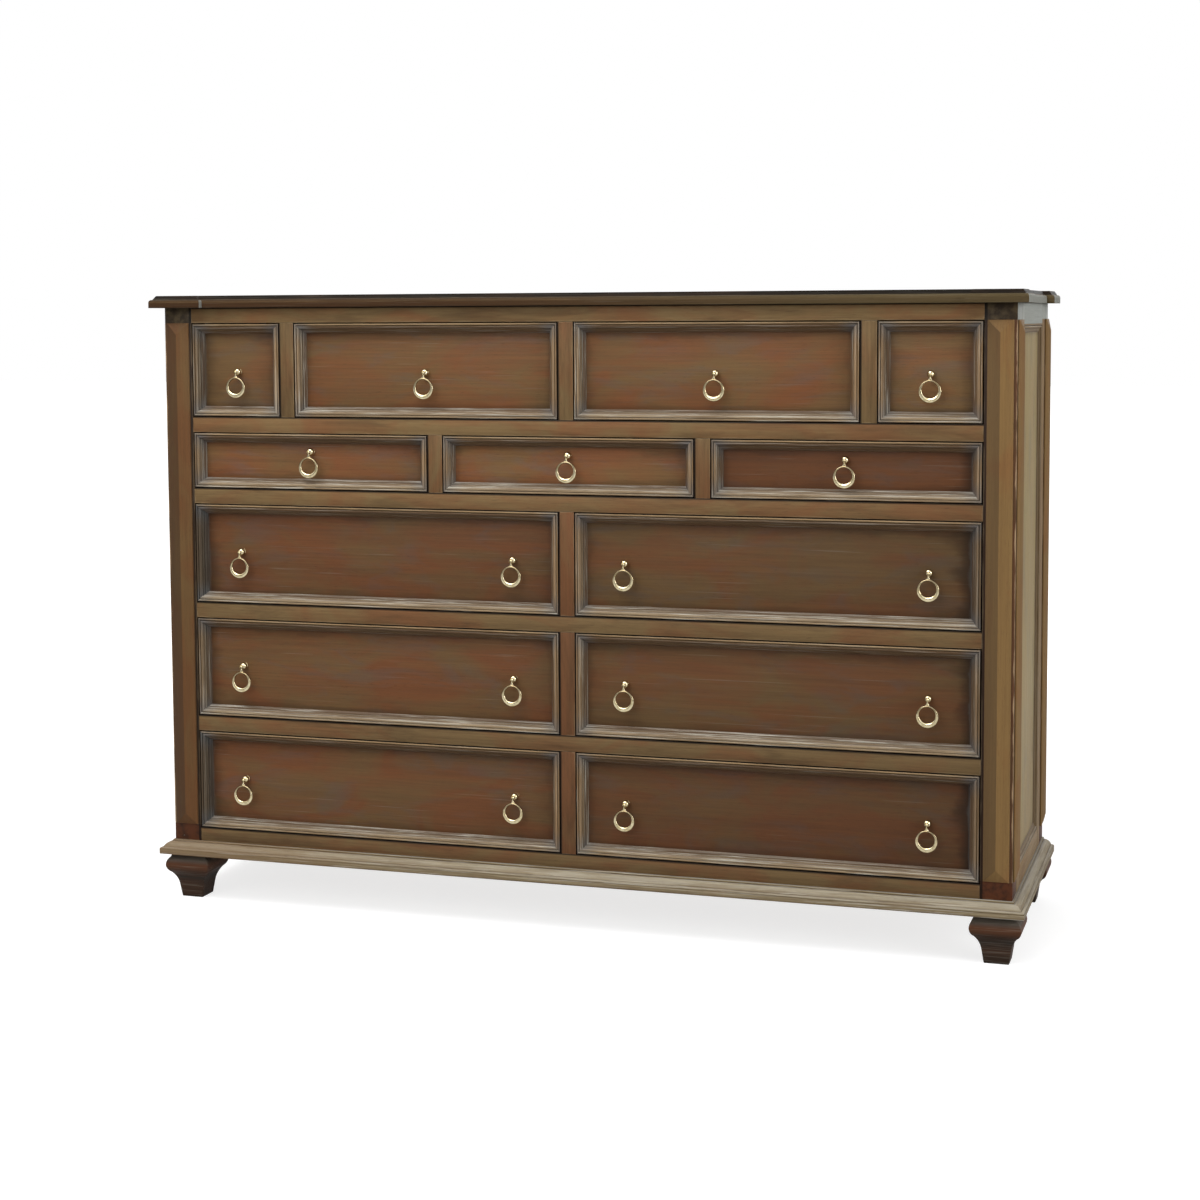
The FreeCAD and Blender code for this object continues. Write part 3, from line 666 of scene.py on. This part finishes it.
# Solids gathered into one object, with the attributes that the materials read
class Piece:
    def __init__(self, name, materials):
        self.name = name
        self.materials = materials
        self.points = []
        self.faces = []
        self.slots = []
        self.vectors = {"grain": [], "local": [], "half": []}
        self.numbers = {"run": [], "tone": []}

    # Adds one solid; along is the number of the axis that its grain follows
    def add(self, points, faces, slot, along, run=None, tone=None):
        start = len(self.points)
        low = Vector(min(p[i] for p in points) for i in range(3))
        high = Vector(max(p[i] for p in points) for i in range(3))
        middle = (low + high) / 2
        half = (high - low) / 2
        shift = Vector(chance.uniform(-grain_reach, grain_reach) for i in range(3))
        any_tone = chance.random()
        order = [along, (along + 1) % 3, (along + 2) % 3]
        for index, point in enumerate(points):
            self.points.append(Vector(point))
            self.vectors["grain"].append(Vector(point[i] for i in order) + shift)
            self.vectors["local"].append(Vector(point) - middle)
            self.vectors["half"].append(half)
            self.numbers["run"].append(run[index] if run else 0.0)
            self.numbers["tone"].append(any_tone if tone is None else tone)
        self.faces += [[start + i for i in face] for face in faces]
        self.slots += [slot] * len(faces)

    # Adds a bmesh with rounded arrises and frees it; run works out that attribute from a point
    def add_rounded(self, bm, arris, slot, along, run=None, tone=None):
        bmesh.ops.bevel(bm, geom=bm.edges[:], offset=arris, segments=2, profile=0.5, affect="EDGES")
        bm.verts.index_update()
        points = [vert.co.copy() for vert in bm.verts]
        faces = [[vert.index for vert in face.verts] for face in bm.faces]
        bm.free()
        self.add(points, faces, slot, along, [run(point) for point in points] if run else None, tone)

    # A board between two corners
    def board(self, low, high, slot, along, arris=board_arris, run=None, tone=None):
        bm = bmesh.new()
        bmesh.ops.create_cube(bm, size=1.0)
        size = Vector(high) - Vector(low)
        for vert in bm.verts:
            vert.co = Vector(low) + Vector((vert.co[i] + 0.5) * size[i] for i in range(3))
        self.add_rounded(bm, arris, slot, along, run, tone)

    # Closed skin through rings of points; a loop joins the last ring to the first. run has a value for each
    # point of each ring.
    def skin(self, rings, slot, along, loop=False, run=None, tone=None):
        points = [point for ring in rings for point in ring]
        count = len(rings[0])
        faces = []
        for index in range(len(rings) if loop else len(rings) - 1):
            here = index * count
            there = (index + 1) % len(rings) * count
            for i in range(count):
                after = (i + 1) % count
                faces.append([here + i, here + after, there + after, there + i])
        if not loop:
            faces += [list(range(count))[::-1], list(range(len(points) - count, len(points)))]
        self.add(points, faces, slot, along, run, tone)

    # Makes the object in the place of a node; a turn sharper than flat_angle shows as an edge
    def make(self, node, flat_angle=0.6):
        mesh = bpy.data.meshes.new(self.name)
        mesh.from_pydata(self.points, [], self.faces)
        for material in self.materials:
            mesh.materials.append(material)
        mesh.polygons.foreach_set("material_index", self.slots)
        for key, values in self.vectors.items():
            layer = mesh.attributes.new(key, "FLOAT_VECTOR", "POINT")
            layer.data.foreach_set("vector", [number for value in values for number in value])
        for key, values in self.numbers.items():
            mesh.attributes.new(key, "FLOAT", "POINT").data.foreach_set("value", values)
        mesh.shade_smooth()
        mesh.set_sharp_from_angle(angle=flat_angle)
        mesh.update()
        piece = new_object(self.name, mesh)
        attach(piece, body_of_node[node])
        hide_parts(node)


# Points of a flat arc through three points
def arc_through(first, middle, last, count):
    (ax, ay), (bx, by), (cx, cy) = first, middle, last
    a, b, c = (x * x + y * y for x, y in (first, middle, last))
    scale = 2 * (ax * (by - cy) + bx * (cy - ay) + cx * (ay - by))
    across = a * (by - cy) + b * (cy - ay) + c * (ay - by)
    up = a * (cx - bx) + b * (ax - cx) + c * (bx - ax)
    centre = Vector((across, up)) / scale
    radius = (Vector(first) - centre).length
    start, between, end = (math.atan2(y - centre.y, x - centre.x) for x, y in (first, middle, last))
    turn = (end - start) % math.tau
    if (between - start) % math.tau > turn:
        turn -= math.tau
    angles = [start + turn * i / count for i in range(count + 1)]
    return [centre + radius * Vector((math.cos(angle), math.sin(angle))) for angle in angles]


# Rounds each corner of an outline with three points, cut back by no more than 0.4 of a side
def softened(outline, cut):
    result = [outline[0]]
    for before, corner, after in zip(outline, outline[1:], outline[2:]):
        back = before - corner
        ahead = after - corner
        first = corner + back.normalized() * min(cut, back.length * 0.4)
        last = corner + ahead.normalized() * min(cut, ahead.length * 0.4)
        result += [first, (first + last) / 4 + corner / 2, last]
    return result + [outline[-1]]


# Share of the way along an outline at each of its points, counted from the point numbered start
def share_along(outline, start=0):
    lengths = [0.0]
    for index, (here, there) in enumerate(zip(outline, outline[1:])):
        lengths.append(lengths[-1] + (there - here).length * (index >= start))
    return [length / lengths[-1] for length in lengths]


# Outline of a moulding from its outer edge to its toe: x inwards, y out of the face. The sizes are in
# millimetres and the outline in metres.
def moulding_outline(height, fillet, quirk, bead, step, drop, slope, toe, soft=0.35):
    bead_start = fillet + quirk
    bead_end = bead_start + 2 * bead
    shelf = height - bead
    width = bead_end + 2 * step + slope
    outline = [Vector(corner) for corner in ((0, 0), (0, height), (fillet, height), (fillet, shelf))]
    outline += arc_through((bead_start, shelf), (bead_start + bead, height), (bead_end, shelf), 10)
    low_shelf = shelf - 2 * drop
    corners = [(bead_end, shelf - drop), (bead_end + step, shelf - drop), (bead_end + step, low_shelf),
               (bead_end + 2 * step, low_shelf), (width, toe), (width, 0)]
    outline += [Vector(corner) for corner in corners]
    return [point * MM for point in softened(outline, soft)]


drawer_moulding = moulding_outline(height=16, fillet=2.8, quirk=1.2, bead=3.0, step=2.6, drop=3.6,
                                   slope=2.8, toe=1.0)
side_moulding = moulding_outline(height=6, fillet=2.8, quirk=1.2, bead=1.8, step=2.6, drop=1.2,
                                 slope=2.8, toe=0.6)


# Four mitred strips inside a rectangle, from the bottom one round to the left one. corner is its lower
# left corner, right, up and out are axes, and each strip has its own material slot and lightness.
def add_moulding(piece, outline, corner, right, up, out, across, tall, slots, lightness):
    width = max(point.x for point in outline)
    run = [point.x / width if point.x else outer_edge for point in outline]
    start = corner
    sides = ((right, up, across), (up, -right, tall), (-right, -up, across), (-up, right, tall))
    for (direction, inwards, length), slot, tone in zip(sides, slots, lightness):
        ends = [[start + direction * abs(end - inset) + inwards * inset + out * height
                 for inset, height in outline] for end in (0, length)]
        along = max(range(3), key=lambda i: abs(direction[i]))
        piece.skin(ends, slot, along, run=run * 2, tone=tone)
        start = start + direction * length


# Drawers
def make_drawer(label, tone, left_depth, right_depth, left_lightness, right_lightness):
    node = "drawer_" + label
    low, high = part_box(node)
    piece = Piece("wood_" + node, [drawer_panel, inner_wood] + drawer_mouldings)
    front_low = low.z + front_gap
    panel_y = low.y + moulding_height
    back_of_front = panel_y + front_thickness
    middle = (low.x + high.x) / 2
    piece.board((low.x, panel_y, front_low), (high.x, back_of_front, high.z), 0, 0, panel_arris,
                lambda point: left_depth if point.x < middle else right_depth, tone)
    add_moulding(piece, drawer_moulding, Vector((low.x, panel_y, front_low)), X, Z, -Y,
                 high.x - low.x, high.z - front_low, (2, 3, 4, 5), (1, right_lightness, 1, left_lightness))
    left = low.x + box_gap
    right = high.x - box_gap
    side_top = high.z + front_gap - box_headroom
    bottom = low.z + box_bottom_lift
    bottom_top = bottom + box_bottom_thickness
    piece.board((left, back_of_front, low.z), (left + box_wall, high.y, side_top), 1, 1)
    piece.board((right - box_wall, back_of_front, low.z), (right, high.y, side_top), 1, 1)
    piece.board((left + box_wall, high.y - box_wall, bottom_top),
                (right - box_wall, high.y, side_top - box_back_drop), 1, 0)
    piece.board((left + box_groove, back_of_front - box_groove, bottom),
                (right - box_groove, high.y, bottom_top), 1, 0)
    piece.make(node)


# Angles of one turn in equal steps
def turn_angles(steps):
    return [math.tau * index / steps for index in range(steps)]


# Turned brass: an outline of radius and height spun round an axis; a loop closes the outline
def lathe(piece, outline, origin, axis, first, second, steps=32, loop=False):
    rings = []
    for radius, along in outline:
        middle = origin + axis * along
        rings.append([middle + (first * math.cos(angle) + second * math.sin(angle)) * radius
                      for angle in turn_angles(steps)])
    piece.skin(rings, 0, 0, loop)


def sphere_outline(radius, start, end, count=12):
    first, last = math.acos(start / radius), math.acos(end / radius)
    angles = [first + (last - first) * i / count for i in range(count + 1)]
    return [(radius * math.sin(angle), radius * math.cos(angle)) for angle in angles]


# A turned disc with softened rims
def disc_outline(radius, low, high, soft):
    return [(radius - soft, low), (radius, low + soft), (radius, high - soft), (radius - soft, high)]


# Stud of a pull: collar, ball, the two cheeks and the root of the knuckle, hinge pin and screw head
def add_stud(piece, hinge):
    out = -Y
    seat = hinge - out * pull_reach
    lathe(piece, disc_outline(collar_radius, 0, collar_height, turned_rim), seat, out, X, Z)
    lathe(piece, sphere_outline(ball_radius, collar_height - ball_reach, ball_radius - tiny),
          seat + out * ball_reach, out, X, Z)
    lathe(piece, sphere_outline(knuckle_radius, -knuckle_slot_back, tiny - knuckle_radius), hinge, out, X, Z)
    cheek = sphere_outline(knuckle_radius, knuckle_slot / 2, knuckle_radius - tiny)
    for side in (X, -X):
        lathe(piece, cheek, hinge, side, Y, Z)
    lathe(piece, disc_outline(pin_radius, -pin_half_length, pin_half_length, tiny), hinge, X, Y, Z, 12)
    lathe(piece, disc_outline(screw_head_radius, -screw_head_height, 0, screw_rim),
          seat - out * front_thickness, out, X, Z)


# Cross-section between a circle and a rounded square
def oval(middle, wide, half_wide, thick, half_thick, steps=16, power=0.72):
    def swollen(value):
        return math.copysign(abs(value) ** power, value)

    return [middle + wide * (half_wide * swollen(math.cos(angle)))
            + thick * (half_thick * swollen(math.sin(angle))) for angle in turn_angles(steps)]


# Hanging ring with a high-set hole, a flared neck and an eye round the hinge pin
def add_ring(piece, hinge, steps=72):
    centre = hinge - Z * ring_drop
    rings = []
    for angle in turn_angles(steps):
        outwards = X * math.sin(angle) + Z * math.cos(angle)
        chord = math.sqrt(ring_hole ** 2 - (ring_lift * math.sin(angle)) ** 2)
        inner = ring_lift * math.cos(angle) + chord
        middle = centre + outwards * ((ring_radius + inner) / 2)
        rings.append(oval(middle, outwards, (ring_radius - inner) / 2, Y, ring_half_thickness))
    piece.skin(rings, 0, 0, loop=True)
    waist = (neck_half_waist, neck_waist)
    flare = arc_through((eye_half_width, 0), waist, (neck_half_base, neck_base_drop), 14)
    hole_top = ring_drop - ring_lift - ring_hole
    levels = [oval(hinge - Z * drop, X, half, Y, neck_half_thickness) for half, drop in flare
              if eye_hole < drop < hole_top]
    piece.skin(levels, 0, 0)
    rim = disc_outline(eye_radius, -eye_half_width, eye_half_width, turned_rim)
    bore = disc_outline(eye_hole, eye_half_width, -eye_half_width, -tiny)
    lathe(piece, rim + bore, hinge, X, Y, Z, 24, loop=True)


def make_pulls(label, flat_angle=1.0):
    studs = Piece("brass_studs_" + label, [stud_brass])
    for joint in frame["joints"]:
        if joint["type"] != "hinge" or joint["parent"] != "body_drawer_" + label:
            continue
        hinge = Vector(joint["pos_m"])
        add_stud(studs, hinge)
        ring_node = bodies[joint["child"]][0]
        ring = Piece("brass_" + ring_node, [ring_brass])
        add_ring(ring, hinge)
        ring.make(ring_node, flat_angle)
    studs.make("pull_studs_" + label, flat_angle)


# Face frame
def make_face_frame():
    rails = Piece("wood_rails", [rail_wood])
    stiles = Piece("wood_stiles", [stile_wood])
    y0, y1 = front_y, front_y + rail_depth
    edges = [body_top]
    for row, cells in rows:
        boxes = [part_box("drawer_%s_%s" % (row, cell[0])) for cell in cells]
        low, high = boxes[0][0].z, boxes[0][1].z + front_gap
        edges += [high, low]
        stile_tone = upper_stile_tone if len(cells) > 2 else lower_stile_tone
        for before, after in zip(boxes, boxes[1:]):
            stiles.board((before[1].x + front_gap, y0, low), (after[0].x - front_gap, y1, high), 0, 2,
                         run=lambda point: stile_darkening + stile_darkening_down * (body_top - point.z),
                         tone=stile_tone)
    edges.append(floor_of_body)
    for high, low in zip(edges[0::2], edges[1::2]):
        rails.board((-half_opening, y0, low), (half_opening, y1, high), 0, 0, tone=rail_tone,
                    run=lambda point: rail_darkening_down * (body_top - point.z) + rail_darkening_right * point.x)
    rails.make("face_frame_rails")
    stiles.make("face_frame_stiles")


# A pilaster that stands on a foot point, with its right and its show face along two axes
def add_pilaster(piece, foot, right, out, length, depth, tone):
    half = pilaster_width / 2
    bm = bmesh.new()

    def vert(x, y, z):
        return bm.verts.new(foot + right * x + Z * y + out * z)

    corners = ((-half, 0), (half, 0), (half, length), (-half, length))
    low = [vert(x, y, 0) for x, y in corners]
    rim = [vert(x, y, pilaster_edge) for x, y in corners]
    start = vert(0, pilaster_hip, pilaster_ridge)
    end = vert(0, length - pilaster_hip, pilaster_ridge)
    bm.faces.new(low[::-1])
    for i in range(4):
        bm.faces.new((low[i], low[(i + 1) % 4], rim[(i + 1) % 4], rim[i]))
    for outline in ((rim[0], rim[1], start), (rim[1], rim[2], end, start), (rim[2], rim[3], end),
                    (rim[3], rim[0], start, end)):
        bm.faces.new(outline)
    piece.add_rounded(bm, pilaster_arris, 1, 2, lambda point: depth, tone)


# Posts with their pilasters
def make_posts():
    length = body_top - cap_height - floor_of_body - plinth_height
    half_post = post_side / 2
    foot_z = floor_of_body + plinth_height
    for side, (sign, *stain) in posts.items():
        x0, x1 = sorted((sign * half_opening, sign * half_body))
        for place, y0 in (("front", front_y), ("rear", rear_y - post_side)):
            node = "%s_%s_post" % (place, side)
            piece = Piece("wood_" + node, [corner_wood, pilaster_wood])
            piece.board((x0, y0, floor_of_body), (x1, y0 + post_side, body_top), 0, 2,
                        run=lambda point: abs(point.x) - half_opening)
            foot = Vector((sign * half_body, y0 + half_post, foot_z))
            add_pilaster(piece, foot, Y * sign, X * sign, length, *stain)
            if place == "front":
                add_pilaster(piece, Vector(((x0 + x1) / 2, y0, foot_z)), X, -Y, length, *stain)
            piece.make(node)


# Section of the top's edge as inset and height, from its underside to its upper face
def top_section(height):
    soft = top_arris
    ovolo_z = top_fascia + top_ovolo_rise
    slope_start = top_ovolo_run + top_fillet
    slope_end = slope_start + top_slope_run
    section = [(soft, 0), (0, soft)]
    for angle in range(0, 91, 18):
        turn = math.radians(angle)
        section.append((top_ovolo_run * (1 - math.cos(turn)), top_fascia + top_ovolo_rise * math.sin(turn)))
    section += [(slope_start - soft / 2, ovolo_z), (slope_start, ovolo_z + soft / 2)]
    section += [(slope_end - soft, height - soft), (slope_end + soft, height)]
    return [Vector(point) for point in section]


# Top board: one outline drawn in by the section's inset at each height
def make_top():
    low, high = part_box("top_board")
    section = top_section(high.z - low.z)
    loops = []
    for inset, height in section:
        step_x = high.x - top_block + inset
        middle_x = high.x - top_break_side - inset
        edge_x = high.x - inset
        y0 = low.y + inset
        notch_front = low.y + top_block - inset
        notch_rear = high.y - top_block + inset
        right = [(step_x, y0 + top_break_front), (step_x, y0), (edge_x, y0), (edge_x, notch_front),
                 (middle_x, notch_front), (middle_x, notch_rear), (edge_x, notch_rear), (edge_x, high.y)]
        outline = right + [(-x, y) for x, y in reversed(right)]
        loops.append([Vector((x, y, low.z + height)) for x, y in outline])
    piece = Piece("wood_top_board", [top_wood])
    run = [share for share in share_along(section) for corner in loops[0]]
    piece.skin(loops, 0, 0, run=run, tone=1.0)
    piece.make("top_board")


# Edge of the base frame: x runs out from the line of the posts, y up from its underside
def base_outline():
    groove = 2 * base_bead
    slope_start = Vector((groove + base_groove, base_height - groove))
    lip_z = slope_start.y - base_slope_drop
    lip_x = base_projection - base_lip_round
    slope_end = Vector((lip_x - base_lip, lip_z))
    bow = (slope_start + slope_end) / 2 + Vector((base_bow, base_bow))
    diagonal = Vector((math.sqrt(0.5), math.sqrt(0.5)))
    bead_centre = Vector((base_bead, base_height - base_bead))
    lip_centre = Vector((lip_x, lip_z - base_lip_round))
    outline = [Vector((-base_inside, 0)), Vector((-base_inside, base_height))]
    outline += arc_through((base_bead, base_height), bead_centre + diagonal * base_bead,
                           (groove, bead_centre.y), 4)
    outline.append(Vector((groove, slope_start.y)))
    outline += arc_through(slope_start, bow, slope_end, 6)
    outline += arc_through((lip_x, lip_z), lip_centre + diagonal * base_lip_round,
                           (base_projection, lip_centre.y), 4)
    outline.append(Vector((base_projection, 0)))
    return outline


# Base frame: its edge run along the front and the two sides, mitred at the front corners
def make_base():
    low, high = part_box("base_moulding")
    outline = base_outline()
    piece = Piece("wood_base_moulding", [base_wood, inner_wood])
    run = share_along(outline, 2) * 2
    corners = []
    rears = []
    for sign in (-1, 1):
        corners.append([Vector((sign * (half_body + out), front_y - out, low.z + up))
                        for out, up in outline])
        rears.append([Vector((sign * (half_body + out), rear_y, low.z + up)) for out, up in outline])
    piece.skin(corners, 0, 0, run=run, tone=1.0)
    for corner, rear in zip(corners, rears):
        piece.skin([corner, rear], 0, 1, run=run, tone=1.0)
    inner_x = half_body - base_inside
    piece.board((-inner_x, rear_y - base_inside, low.z), (inner_x, rear_y, high.z), 1, 0)
    piece.make("base_moulding")


# Half width and height of a foot from the floor up
def foot_profile():
    half_bottom, half_top, height = 22, 34, 90
    ankle, hollow, waist = (25.5, 24), (28.95, 37), (37, 50)
    bulge, shoulder = (45.3, 67), (38, 80.5)
    bottom_rim, top_rim, top_rim_drop = 0.6, 0.2, 0.5
    profile = [Vector((half_bottom - bottom_rim, 0)), Vector((half_bottom, bottom_rim))]
    profile += arc_through(ankle, hollow, waist, 6) + arc_through(waist, bulge, shoulder, 10)
    profile += [Vector((half_top + top_rim, height - top_rim_drop)), Vector((half_top - top_rim, height))]
    return [point * MM for point in profile]


# Feet: square bulbs with softened corners
def make_feet():
    low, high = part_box("feet")
    profile = foot_profile()
    bulge = max(point.x for point in profile)
    tall = high.z - low.z
    piece = Piece("wood_feet", [foot_wood])
    for x in (low.x + bulge, high.x - bulge):
        for y in (low.y + bulge, high.y - bulge):
            rings = []
            for half, height in profile:
                inner = half - foot_arris
                corners = [(half, -inner), (half, inner), (inner, half), (-inner, half), (-half, inner),
                           (-half, -inner), (-inner, -half), (inner, -half)]
                rings.append([Vector((x + a, y + b, height)) for a, b in corners])
            run = [point.z / tall for ring in rings for point in ring]
            piece.skin(rings, 0, 0, run=run, tone=1.0)
    piece.make("feet")


# Sides: a frame, a sunk panel and its moulding
def make_sides():
    y0 = front_y + post_side
    y1 = rear_y - post_side
    field_y0, field_y1 = y0 + side_stile, y1 - side_stile
    field_z0, field_z1 = floor_of_body + side_rail, body_top - side_rail
    for side, sign in (("left", -1), ("right", 1)):
        node = side + "_side_panel"
        piece = Piece("wood_" + node, [side_frame_wood, side_field, side_moulding_wood, grey_cap_wood])

        def slab(inner, outer, ya, yb, za, zb, slot, along):
            x0, x1 = sorted((sign * inner, sign * outer))
            piece.board((x0, ya, za), (x1, yb, zb), slot, along)

        inner = half_body - side_thickness
        slab(inner, half_body, y0, field_y0, floor_of_body, body_top, 0, 2)
        slab(inner, half_body, field_y1, y1, floor_of_body, body_top, 0, 2)
        slab(inner, half_body, field_y0, field_y1, floor_of_body, field_z0, 0, 1)
        slab(inner, half_body, field_y0, field_y1, field_z1, body_top, 3, 1)
        panel_x = half_body - side_sink
        slab(panel_x - side_panel, panel_x, field_y0, field_y1, field_z0, field_z1, 1, 2)
        start_y = field_y0 if sign > 0 else field_y1
        corner = Vector((sign * panel_x, start_y, field_z0))
        add_moulding(piece, side_moulding, corner, Y * sign, Z, X * sign, field_y1 - field_y0,
                     field_z1 - field_z0, (2, 2, 2, 2), side_lightness)
        piece.make(node)


for row, cells in rows:
    for cell, *looks in cells:
        make_drawer(row + "_" + cell, *looks)
        make_pulls(row + "_" + cell)
make_face_frame()
make_posts()
make_top()
make_base()
make_feet()
make_sides()
for node in ("web_frames", "drawer_guides", "bottom_board", "back_panel"):
    nodes[node].data.materials.clear()
    nodes[node].data.materials.append(inner_wood_solid)

# Camera at the photograph's place
camera_place = (1.2340, -3.9476, 1.1275)
camera_yaw = math.radians(17.508)
camera_pitch = math.radians(4.497)
camera_roll = math.radians(-0.302)
camera_lens = 64.93
camera_sensor = 36.0
camera_shift = -0.0954

# Lamps: place, target, width and height in metres, and power in watts
lamps = {
    "overhead": ((-0.8, -1.3, 3.4), (-0.2, -0.1, 0.4), (2.8, 2.2), 110),
    "front_fill": ((-0.8, -4.4, 2.6), (-0.4, 0, 0.8), (2.6, 2.0), 46),
    "right_fill": ((4.2, -1.4, 1.7), (0.7, 0, 0.7), (2.0, 2.0), 70),
    "rear_fill": ((0.0, 3.8, 2.2), (0, 0, 0.6), (3.0, 2.0), 40),
}

# Strength of the world for diffuse light, and in mirrors at the horizon and above
world_light = 0.45
mirror_low, mirror_high = 0.32, 1.4
mirror_heights = (0.05, 0.55)

# Floor: half side, grey, and glow to the camera near the dresser and far from it
floor_half = 30
floor_grey = (0.45, 0.45, 0.45, 1)
floor_distances = (1.2, 3.0)
glow_near, glow_far = 0.75, 1.1
glow_in_mirrors = 0.3


def make_camera():
    data = bpy.data.cameras.new("camera")
    data.lens = camera_lens
    data.sensor_width = camera_sensor
    data.shift_y = camera_shift
    camera = new_object("camera", data)
    camera.matrix_world = Matrix.Translation(camera_place)
    for turn, axis in ((camera_yaw, "Z"), (math.pi / 2 - camera_pitch, "X"), (camera_roll, "Z")):
        camera.matrix_world @= Matrix.Rotation(turn, 4, axis)
    bpy.context.scene.camera = camera


def area_light(name, place, target, size, power):
    data = bpy.data.lights.new(name, "AREA")
    data.shape = "RECTANGLE"
    data.size, data.size_y = size
    data.energy = power
    lamp = new_object(name, data)
    lamp.location = place
    lamp.rotation_euler = (Vector(target) - Vector(place)).to_track_quat("-Z", "Y").to_euler()


# White to the camera, bright above and dark at the horizon in reflections, even for the rest
def make_world():
    world = bpy.data.worlds.new("world")
    bpy.context.scene.world = world
    world.use_nodes = True
    sky = Nodes(world.node_tree)
    path = sky.node("ShaderNodeLightPath").outputs
    above = sky.spread(sky.coordinate("Generated", 2), *mirror_heights, mirror_low, mirror_high)
    mirrored = sky.spread(path["Is Glossy Ray"], 0, 1, world_light, above)
    backdrop = world.node_tree.nodes["Background"]
    backdrop.inputs["Color"].default_value = (1, 1, 1, 1)
    sky.put(backdrop.inputs["Strength"], sky.spread(path["Is Camera Ray"], 0, 1, mirrored, 1.0))


# Pale floor that keeps the shadow near the dresser and is plain white to the camera far from it
def make_floor():
    mesh = bpy.data.meshes.new("floor")
    corners = [(x * floor_half, y * floor_half, 0) for x, y in ((-1, -1), (1, -1), (1, 1), (-1, 1))]
    mesh.from_pydata(corners, [], [(0, 1, 2, 3)])
    floor = new_object("floor", mesh)
    material = bpy.data.materials.new("pale_floor")
    material.use_nodes = True
    material.node_tree.nodes.clear()
    ground = Nodes(material.node_tree)
    matt = ground.node("ShaderNodeBsdfDiffuse", {"Color": floor_grey})
    position = ground.node("ShaderNodeNewGeometry").outputs["Position"]
    distance = ground.vector("LENGTH", position, output="Value")
    path = ground.node("ShaderNodeLightPath").outputs
    in_mirrors = ground.math("MULTIPLY", path["Is Glossy Ray"], glow_in_mirrors)
    seen = ground.math("MAXIMUM", path["Is Camera Ray"], in_mirrors)
    strength = ground.spread(distance, *floor_distances, glow_near, glow_far)
    glow = ground.node("ShaderNodeEmission", {"Strength": ground.math("MULTIPLY", seen, strength)})
    both = ground.node("ShaderNodeAddShader", {0: matt.outputs[0], 1: glow.outputs[0]})
    ground.node("ShaderNodeOutputMaterial", {"Surface": both.outputs[0]})
    mesh.materials.append(material)


make_camera()
make_world()
make_floor()
for name, lamp in lamps.items():
    area_light(name, *lamp)
bpy.context.scene.view_settings.view_transform = "Standard"
